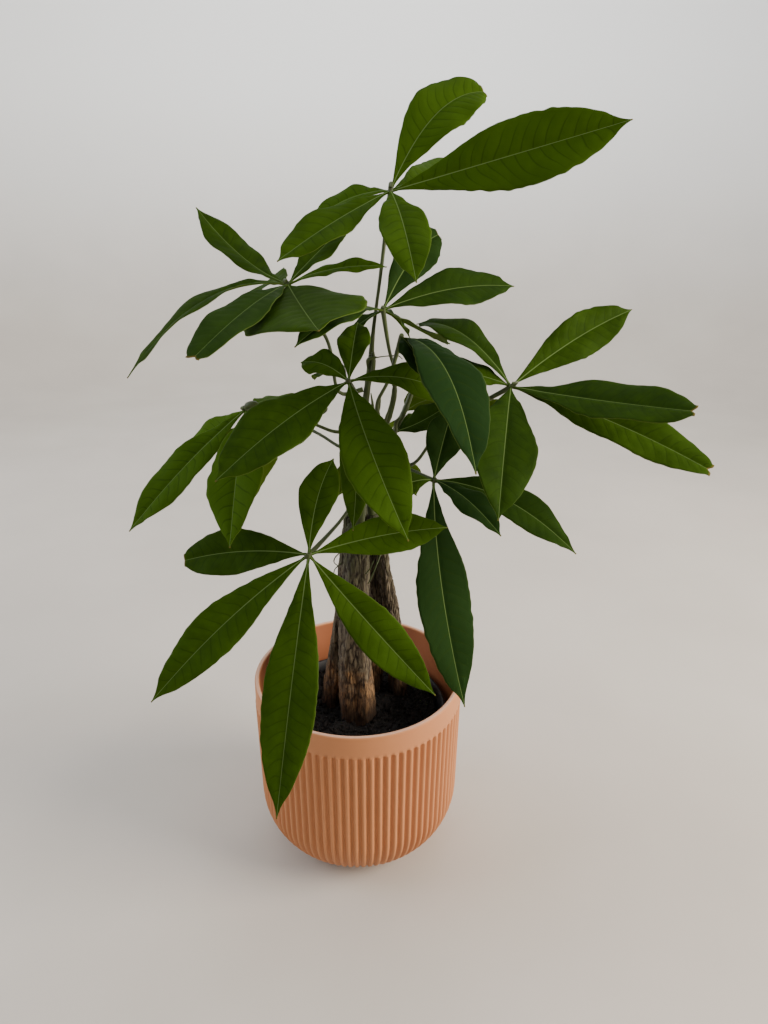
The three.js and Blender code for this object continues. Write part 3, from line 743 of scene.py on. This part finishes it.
# Small growths on the stems, each through a few places with its radius: a thread, a stub, hooked scales,
# bud leaves, young hairs, and loose fibres on the bark.
growths = {
    "shoot_left": [
        [(8, 2, 333, 0.6), (8.2, -2, 338.5, 1.1), (11.5, -2.5, 339.9, 1), (13.5, -2.8, 340.3, 0.4)],
        [(11.7, -2, 339.7, 0.4), (17.6, -4, 341, 0.35), (25.4, -8, 342, 0.35), (28.2, -9, 340.2, 0.3)],
        [(10.8, 1, 330, 1.4), (11.4, -1, 337, 1.5), (11.1, -1, 343, 1)],
    ],
    "shoot_front": [
        [(10.5, -9, 300, 0.7), (11.1, -11, 311, 1), (10, -12, 321, 0.3)],
        [(12.5, -14, 305, 0.7), (14.6, -17, 314, 1), (15.5, -19, 322, 0.3)],
        [(14.5, -18, 300, 0.6), (18.2, -21, 307, 0.8), (20.5, -22, 314, 0.2)],
    ],
    "trunk_front": [
        [(17.4, -2, 219, 0.6), (13, -10, 210, 0.5), (9.1, -15, 202, 0.5), (7.6, -15, 199, 0.3)],
        [(11, -13, 214, 0.4), (8.6, -15, 209, 0.4), (6, -15.5, 206, 0.3)],
    ],
    "trunk_left": [
        [(-9, 2, 214, 0.4), (-13.5, -1, 211, 0.4), (-14.6, -2, 207.5, 0.35), (-12, -2, 205, 0.3)],
        [(-10, 2, 205, 0.4), (-14, 0, 202, 0.35), (-15, 0, 199, 0.3)],
    ],
    "leaf_small": [
        [(25, 5, 292, 0.9), (24.9, 1, 299.5, 1.2), (26.6, 0, 302.3, 0.9), (28.8, 0, 303.8, 0.2)],
        [(24, 4, 290, 0.5), (27.3, -1, 290.6, 0.4), (27.6, -2, 288.2, 0.2)],
        [(23.5, 4, 287, 0.4), (28.4, -2, 285, 0.35), (28.9, -2, 286.7, 0.2)],
        [(23, 4, 284, 0.4), (29.6, -2, 280.8, 0.35), (32.3, -2, 281, 0.2)],
    ],
    "leaf_left": [
        [(-64, -6, 310, 1.6), (-62, -10, 313, 2.4), (-58, -12, 314.5, 1.8), (-55, -13, 314, 0.3)],
        [(-19, 0, 306, 0.7), (-17.4, -2, 308.5, 1.1), (-16.5, -2, 311.5, 0.3)],
    ],
}


# A grown piece in one: its stem, the small growths on it, and its blades.
def finishGrown(node, slot, stemPart, blades=()):
    parts = [stemPart]
    for growth in growths.get(node, []):
        places = [(place[:3], place[3]) for place in growth]
        parts.append(stemMesh("growth", places, stem["growthStep"], stem["growthSides"]))
    finishPiece(pieceName(node), joined(node, parts + list(blades)), slot, node)


def makeTrunk(trunk, material):
    size = bark
    sides = size["sides"]
    points, cracks = [], []
    for i in range(size["rows"] + 1):
        share = i / size["rows"]
        centre, along = trunkAxis(trunk, share)
        north = (Vector((0, 1, 0)) - along.y * along).normalized()
        east = north.cross(along)
        taper = trunk["slim"] + (trunk["thick"] - trunk["slim"]) * (1 - share) ** size["taperPower"]
        fromTop = (1 - share) * (size["rise"] - soilTop + size["depthInSoil"])
        shoulder = math.sqrt(1 - (1 - min(1, fromTop / size["shoulder"])) ** 2)
        spread = size["topShare"] + (1 - size["topShare"]) * shoulder
        for j in range(sides):
            angle = fullTurn * j / sides
            outward = east * math.cos(angle) + north * math.sin(angle)
            radius = taper * (1 + furrow(share, -angle, trunk["seed"]))
            relief, crack = barkRelief(centre + outward * radius, share, trunk["seed"])
            points.append(centre + outward * (radius + relief) * spread)
            cracks.append(crack)
    faces = ringFaces(size["rows"] + 1, sides, 0)
    faces.append(tuple(reversed(range(sides))))
    faces.append(tuple(size["rows"] * sides + j for j in range(sides)))
    mesh = meshFrom(trunk["node"], points, faces, {"crack": cracks})
    mesh.materials.append(material)
    finishGrown(trunk["node"], "bark", mesh)


barkFinish = youngBark()
for trunk in trunks:
    makeTrunk(trunk, barkFinish)
print("trunks made")


def shootAxis(index, share):
    shoot = shoots[index]
    onward = trunkAxis(trunks[index], 1)[1]
    start = Vector((*trunks[index]["top"], bark["rise"])) + stem["seat"] * onward
    end = Vector(shoot["top"])
    third = (end - start).length / 3
    early = start + third * onward
    late = end - third * Vector(shoot["lean"]).normalized()
    rest = 1 - share
    point = rest ** 3 * start + 3 * rest ** 2 * share * early
    point += 3 * rest * share ** 2 * late + share ** 3 * end
    along = rest ** 2 * (early - start) + 2 * rest * share * (late - early) + share ** 2 * (end - late)
    return point, along.normalized()


def shootRadius(index, share):
    shoot = shoots[index]
    return shoot["thick"] + (shoot["slim"] - shoot["thick"]) * share


# A shoot is a little thicker at each leaf scar.
def makeShoot(index):
    places = []
    for i in range(stem["places"] + 1):
        share = i / stem["places"]
        scar = math.cos(fullTurn * (share * stem["scars"] + 0.3 * index))
        swell = 1 + stem["scarSwell"] * max(0, scar) ** 8
        tip = stem["tip"] if share == 1 else 1
        places.append((shootAxis(index, share)[0], shootRadius(index, share) * swell * tip))
    node = shoots[index]["node"]
    finishGrown(node, "shoot", stemMesh(node, places, stem["shootStep"], stem["shootSides"]))


for index in range(len(shoots)):
    makeShoot(index)
print("shoots made")


bladeForm = {
    "thick": 0.35, "fold": 0.09, "belly": 0.05, "waveHeight": 1.1, "waveCount": 2.6, "waveWidth": 4,
    "rowLength": 1.15, "across": 14, "veinSpacing": 6.8, "veinSlant": 0.3, "veinCurve": 0.4, "quilt": 0.2,
    "veinWander": 0.35, "wanderLength": 16, "midrib": 0.8, "channel": 0.25, "channelWidth": 1.4,
    "tipWidth": 0.35, "footTaper": 1.3, "tipCut": 0.45, "bluntTip": 0.14, "notch": 2.2, "stalkWidth": 0.9,
    "scallop": 5, "scallopDepth": 0.05, "tone": 0.35, "toneSpread": 0.4,
}


# One leaflet: its tip, its width, how far its middle arches up, its roll about its midrib in degrees, whether
# its tip is blunt, how far its middle stands to the side, how far its sides hang, whether its tip is notched.
def leaflet(x, y, z, wide, arch, roll=0, blunt=False, aside=0, droop=0, notched=False):
    return {
        "tip": (x, y, z), "wide": wide, "arch": arch, "roll": roll, "blunt": blunt, "aside": aside,
        "droop": droop, "notched": notched,
    }


# Each leaf's tone paints it as a whole: a high tone paler, for young growth and painted light, a low tone
# darker, as painted shade.
leaves = [
    {"node": "leaf_top", "shoot": 0, "grip": 1, "hub": (21, 4, 431), "faces": (0, -0.7, 1),
     "tone": 0.6, "blades": [
        leaflet(75, 40, 486, 34, 12, 10, True, -2.5),
        leaflet(146, -12, 465, 37, 0, 42),
        leaflet(-36, -48, 396, 26, 1, 0, False, 1.5),
        leaflet(-26, 22, 414, 22, 5),
        leaflet(33, -66, 387, 26, 6),
        leaflet(84, 92, 448, 32, 4),
    ]},
    {"node": "leaf_upper_left", "shoot": 0, "grip": 0.8, "hub": (-36, -10, 382), "faces": (-0.4, -0.5, 1),
     "tone": 0.5, "blades": [
        leaflet(-91, 20, 423, 25, -6, 30),
        leaflet(-5, 30, 413, 20, 1, 12),
        leaflet(19, -22, 392, 13, 4),
        leaflet(-12, -95, 368, 63, -1, -14, False, 0, 0.32),
        leaflet(-69, -100, 356, 26, 5, -14, True, -3, notched=True),
        leaflet(-125, -28, 333, 26, 17, 12),
        leaflet(-70, 70, 366, 28, 6),
    ]},
    {"node": "leaf_crown", "shoot": 2, "grip": 1, "hub": (17, -9, 368), "faces": (0.1, -0.4, 1),
     "tone": 0.15, "blades": [
        leaflet(97, 30, 378, 28, 5, 20),
        leaflet(50, 30, 408, 25, 7, 40, True),
        leaflet(-26, -72, 357, 18, 7),
        leaflet(-10, 2, 347, 14, 2),
        leaflet(33, 8, 350, 16, 3),
        leaflet(62, 80, 335, 28, 0),
    ]},
    {"node": "leaf_bent", "shoot": 1, "grip": 1, "hub": (27, -20, 354), "faces": (0.2, -0.5, 1),
     "tone": 0, "blades": [
        leaflet(60, -108, 304, 38, 16, -12, False, -5),
        leaflet(38, -56, 338, 16, 4),
        leaflet(80, 40, 320, 24, 2),
    ]},
    {"node": "leaf_right", "shoot": 3, "grip": 0.46, "hub": (90, -18, 326), "faces": (0.3, -0.5, 1),
     "blades": [
        leaflet(168, 22, 365, 26, 4, 30),
        leaflet(174, -72, 325, 33, -1, 10, True, notched=True),
        leaflet(191, -62, 290, 31, 4, 14, True, notched=True),
        leaflet(76, -82, 270, 36, 7),
        leaflet(46, -12, 334, 24, 3),
        leaflet(38, 32, 355, 30, 12),
    ]},
    {"node": "leaf_front", "shoot": 0, "grip": 0.7, "hub": (-1, -52, 336), "faces": (-0.1, -0.7, 1),
     "tone": 0.55, "blades": [
        leaflet(3, -18, 362, 18, 3),
        leaflet(-28, -30, 342, 19, 4),
        leaflet(-62, -104, 299, 35, 4),
        leaflet(29, -112, 272, 32, 7, -5, False, 4),
        leaflet(71, -38, 314, 24, 10),
        leaflet(-24, 2, 326, 16, 6),
        leaflet(1, -72, 260, 18, 4, 0, False, -3),
    ]},
    {"node": "leaf_left", "shoot": 0, "grip": 0.55, "hub": (-64, -6, 310), "faces": (-0.5, -0.9, 0.9),
     "tone": 0.8, "blades": [
        leaflet(-126, -50, 250, 27, 4),
        leaflet(-65, -72, 250, 35, 7),
        leaflet(-40, 52, 302, 22, 4),
        leaflet(-122, 32, 254, 28, 3),
    ]},
    {"node": "leaf_low", "shoot": 1, "grip": 0.25, "hub": (-23, -70, 245), "faces": (-0.1, -1, 0.7),
     "tone": 0.45, "blades": [
        leaflet(-11, -34, 288, 22, 3, 0, False, -2.5),
        leaflet(-97, -48, 231, 26, 4, 0, True),
        leaflet(-108, -96, 170, 26, 3, 0, False, 2),
        leaflet(-39, -124, 118, 30, 5),
        leaflet(46, -86, 167, 25, 4, 0, False, 3),
        leaflet(54, -42, 249, 23, 3),
    ]},
    {"node": "leaf_low_right", "shoot": 2, "grip": 0.48, "hub": (47, -20, 270), "faces": (0.4, -0.8, 0.8),
     "tone": 0.2, "blades": [
        leaflet(58, -8, 310, 24, 2),
        leaflet(66, -60, 140, 36, 7, 0, False, 5.5),
        leaflet(127, -50, 236, 25, 8, 0, False, -3),
        leaflet(80, -70, 256, 20, 5),
        leaflet(13, -45, 264, 16, 5),
    ]},
    {"node": "leaf_small", "shoot": 2, "grip": 0.66, "hub": (25, 5, 293), "faces": (0.2, -0.6, 1), "blades": [
        leaflet(59, 14, 309, 20, -2),
        leaflet(50, 30, 296, 14, 2),
    ]},
    {"node": "leaf_back_right", "shoot": 3, "grip": 0.72, "hub": (64, 62, 298), "faces": (0.4, 0.6, 1),
     "blades": [
        leaflet(122, 96, 262, 32, 6),
        leaflet(98, 140, 240, 36, 8),
        leaflet(60, 150, 250, 34, 8),
        leaflet(34, 108, 280, 24, 6),
        leaflet(112, 52, 290, 22, 4),
    ]},
    {"node": "leaf_back_left", "shoot": 0, "grip": 0.42, "hub": (-50, 48, 291), "faces": (-0.5, 0.6, 1),
     "blades": [
        leaflet(-106, 88, 254, 30, 4),
        leaflet(-100, 112, 192, 34, 5),
        leaflet(-90, 130, 216, 32, 6),
        leaflet(-74, 122, 250, 24, 6),
    ]},
    {"node": "leaf_back_low", "shoot": 3, "grip": 0.2, "hub": (14, 62, 262), "faces": (0, 1, 0.8), "blades": [
        leaflet(-18, 108, 212, 26, 4),
        leaflet(8, 142, 182, 34, 5),
        leaflet(44, 118, 208, 28, 4),
        leaflet(30, 92, 280, 20, 3),
    ]},
]


# Half a blade's width at a share of its length: a slender foot, widest beyond the middle, a drawn out tip.
def halfWidth(share, wide, blunt):
    form = bladeForm
    widest = 0.5 ** (1 / form["footTaper"])
    power = 1 if share < widest else 0.42 if blunt else 0.95
    bare = (wide / 2) * max(0, math.sin(math.pi * share ** form["footTaper"])) ** power
    if not blunt:
        bare *= 1 - form["tipCut"] * smooth(0.9, 0.985, share)
    stalk = form["stalkWidth"] * (1 - smooth(0.02, 0.1, share))
    end = form["bluntTip"] * wide * smooth(0.9, 1, share) if blunt else form["tipWidth"]
    return max(end, stalk, bare, form["tipWidth"])


# A blade bulges between its side veins and is thick along its midrib. The numbers go to the leaf's finish.
def bladeMesh(hub, faces, blade, seed, tone, material):
    form = bladeForm
    end = Vector(blade["tip"])
    length = (end - hub).length
    rows = round(length / form["rowLength"])
    across = form["across"]
    spacing = length / round(length / form["veinSpacing"])
    aside = (end - hub).cross(faces).normalized()
    bow = Vector((0, 0, blade["arch"])) + blade["aside"] * aside
    top, bottom = [], []
    numbers = {label: [] for label in ("veinPhase", "fromMidrib", "alongShare", "edgeShare")}
    for i in range(rows + 1):
        share = i / rows
        far = share * length
        centre, along = swayed(hub, end, bow, share)
        normal = (faces - along.dot(faces) * along).normalized()
        normal.rotate(Matrix.Rotation(math.radians(blade["roll"]), 3, along))
        side = along.cross(normal)
        half = halfWidth(share, blade["wide"], blade["blunt"])
        ribSize = form["midrib"] * (1 - 0.75 * share)
        for j in range(-across, across + 1):
            out = math.copysign(abs(j / across) ** 1.5, j)
            rim = abs(out)
            reach = rim * half
            curve = form["veinCurve"] * reach ** 2 / max(half, 3)
            phase = (far - form["veinSlant"] * reach - curve) / spacing
            phase += 0.5 if j < 0 else 0
            phase += form["veinWander"] * noise.noise(Vector((far / form["wanderLength"], out * 1.5, seed)))
            swing = math.sin(fullTurn * form["waveCount"] * share + seed + out)
            wave = form["waveHeight"] * rim * rim * swing
            lift = half * (form["fold"] * rim + form["belly"] * math.sin(math.pi * rim))
            lift += wave * smooth(form["waveWidth"], form["waveWidth"] + 2, half)
            lift -= blade["droop"] * reach ** 2 / blade["wide"]
            window = smooth(0.5, 3, reach) * (1 - rim ** 5) * smooth(2, 6, half)
            quilt = form["quilt"] * window * (0.5 - 0.5 * math.cos(fullTurn * phase))
            ridge = ribSize * math.exp(-(reach / (0.9 * ribSize)) ** 2)
            channel = form["channel"] * math.exp(-(reach / form["channelWidth"]) ** 2) * smooth(2, 6, half)
            uneven = noise.noise(Vector((far / form["scallop"], math.copysign(5, j), seed)))
            beside = out * half * (1 + form["scallopDepth"] * uneven * rim ** 4)
            place = centre + side * beside + normal * (lift + quilt)
            if blade["notched"]:
                place -= along * form["notch"] * smooth(0.93, 1, share) * max(0, 1 - 1.8 * rim)
            top.append(place + normal * (form["thick"] / 2 - channel + 0.25 * ridge))
            bottom.append(place - normal * (form["thick"] / 2 + channel + 0.9 * ridge))
            for label, value in zip(numbers, (phase, reach, share, rim)):
                numbers[label].append(value)
    count = 2 * across + 1
    total = (rows + 1) * count
    quads = []
    for i in range(rows):
        for j in range(count - 1):
            a, b, c, d = i * count + j, i * count + j + 1, (i + 1) * count + j + 1, (i + 1) * count + j
            quads.append((a, b, c, d))
            quads.append((total + a, total + d, total + c, total + b))
        a, b = i * count, (i + 1) * count
        quads.append((a, b, total + b, total + a))
        a, b = a + count - 1, b + count - 1
        quads.append((b, a, total + a, total + b))
    for j in range(count - 1):
        quads.append((j + 1, j, total + j, total + j + 1))
        a = rows * count + j
        quads.append((a, a + 1, total + a + 1, total + a))
    spread = {label: values * 2 for label, values in numbers.items()}
    spread["under"] = [0] * total + [1] * total
    spread["tone"] = [tone] * (2 * total)
    mesh = meshFrom("blade", top + bottom, quads, spread)
    mesh.materials.append(material)
    return mesh


# The stalk leaves the side of its shoot, or goes on from its end, and swells at both ends.
def stalkMesh(leaf):
    axis, along = shootAxis(leaf["shoot"], leaf["grip"])
    hub = Vector(leaf["hub"])
    if leaf["grip"] == 1:
        away, reach = along, stem["seat"]
    else:
        away = ((hub - axis) * Vector((1, 1, 0))).normalized()
        reach = shootRadius(leaf["shoot"], leaf["grip"]) + stem["stalkSeat"]
    start = axis + reach * away
    knee = start + stem["knee"] * (hub - start).length * away
    radius = stem["stalkRadius"]
    places = [(start, radius * 1.5), (knee, radius), ((start + hub) / 2, radius * 0.95), (hub, radius * 1.35),
              (hub + 2.2 * Vector(leaf["faces"]).normalized(), radius * 1.1)]
    return stemMesh("stalk", places, stem["step"], stem["sides"])


def makeLeaf(leaf, material):
    hub = Vector(leaf["hub"])
    faces = Vector(leaf["faces"]).normalized()
    blades = []
    for i, blade in enumerate(leaf["blades"]):
        # the leaf's tone: painted light and shade together with young growth, and a random spread for each
        # blade
        tone = leaf.get("tone", bladeForm["tone"])
        tone += bladeForm["toneSpread"] * noise.noise(Vector((i * 1.7, hub.x / 20, hub.z / 30)))
        blades.append(bladeMesh(hub, faces, blade, 2 * i, tone, material))
    finishGrown(leaf["node"], "leaf", stalkMesh(leaf), blades)


leafFinish = leafTissue()
for leaf in leaves:
    makeLeaf(leaf, leafFinish)
    print(leaf["node"], "made")
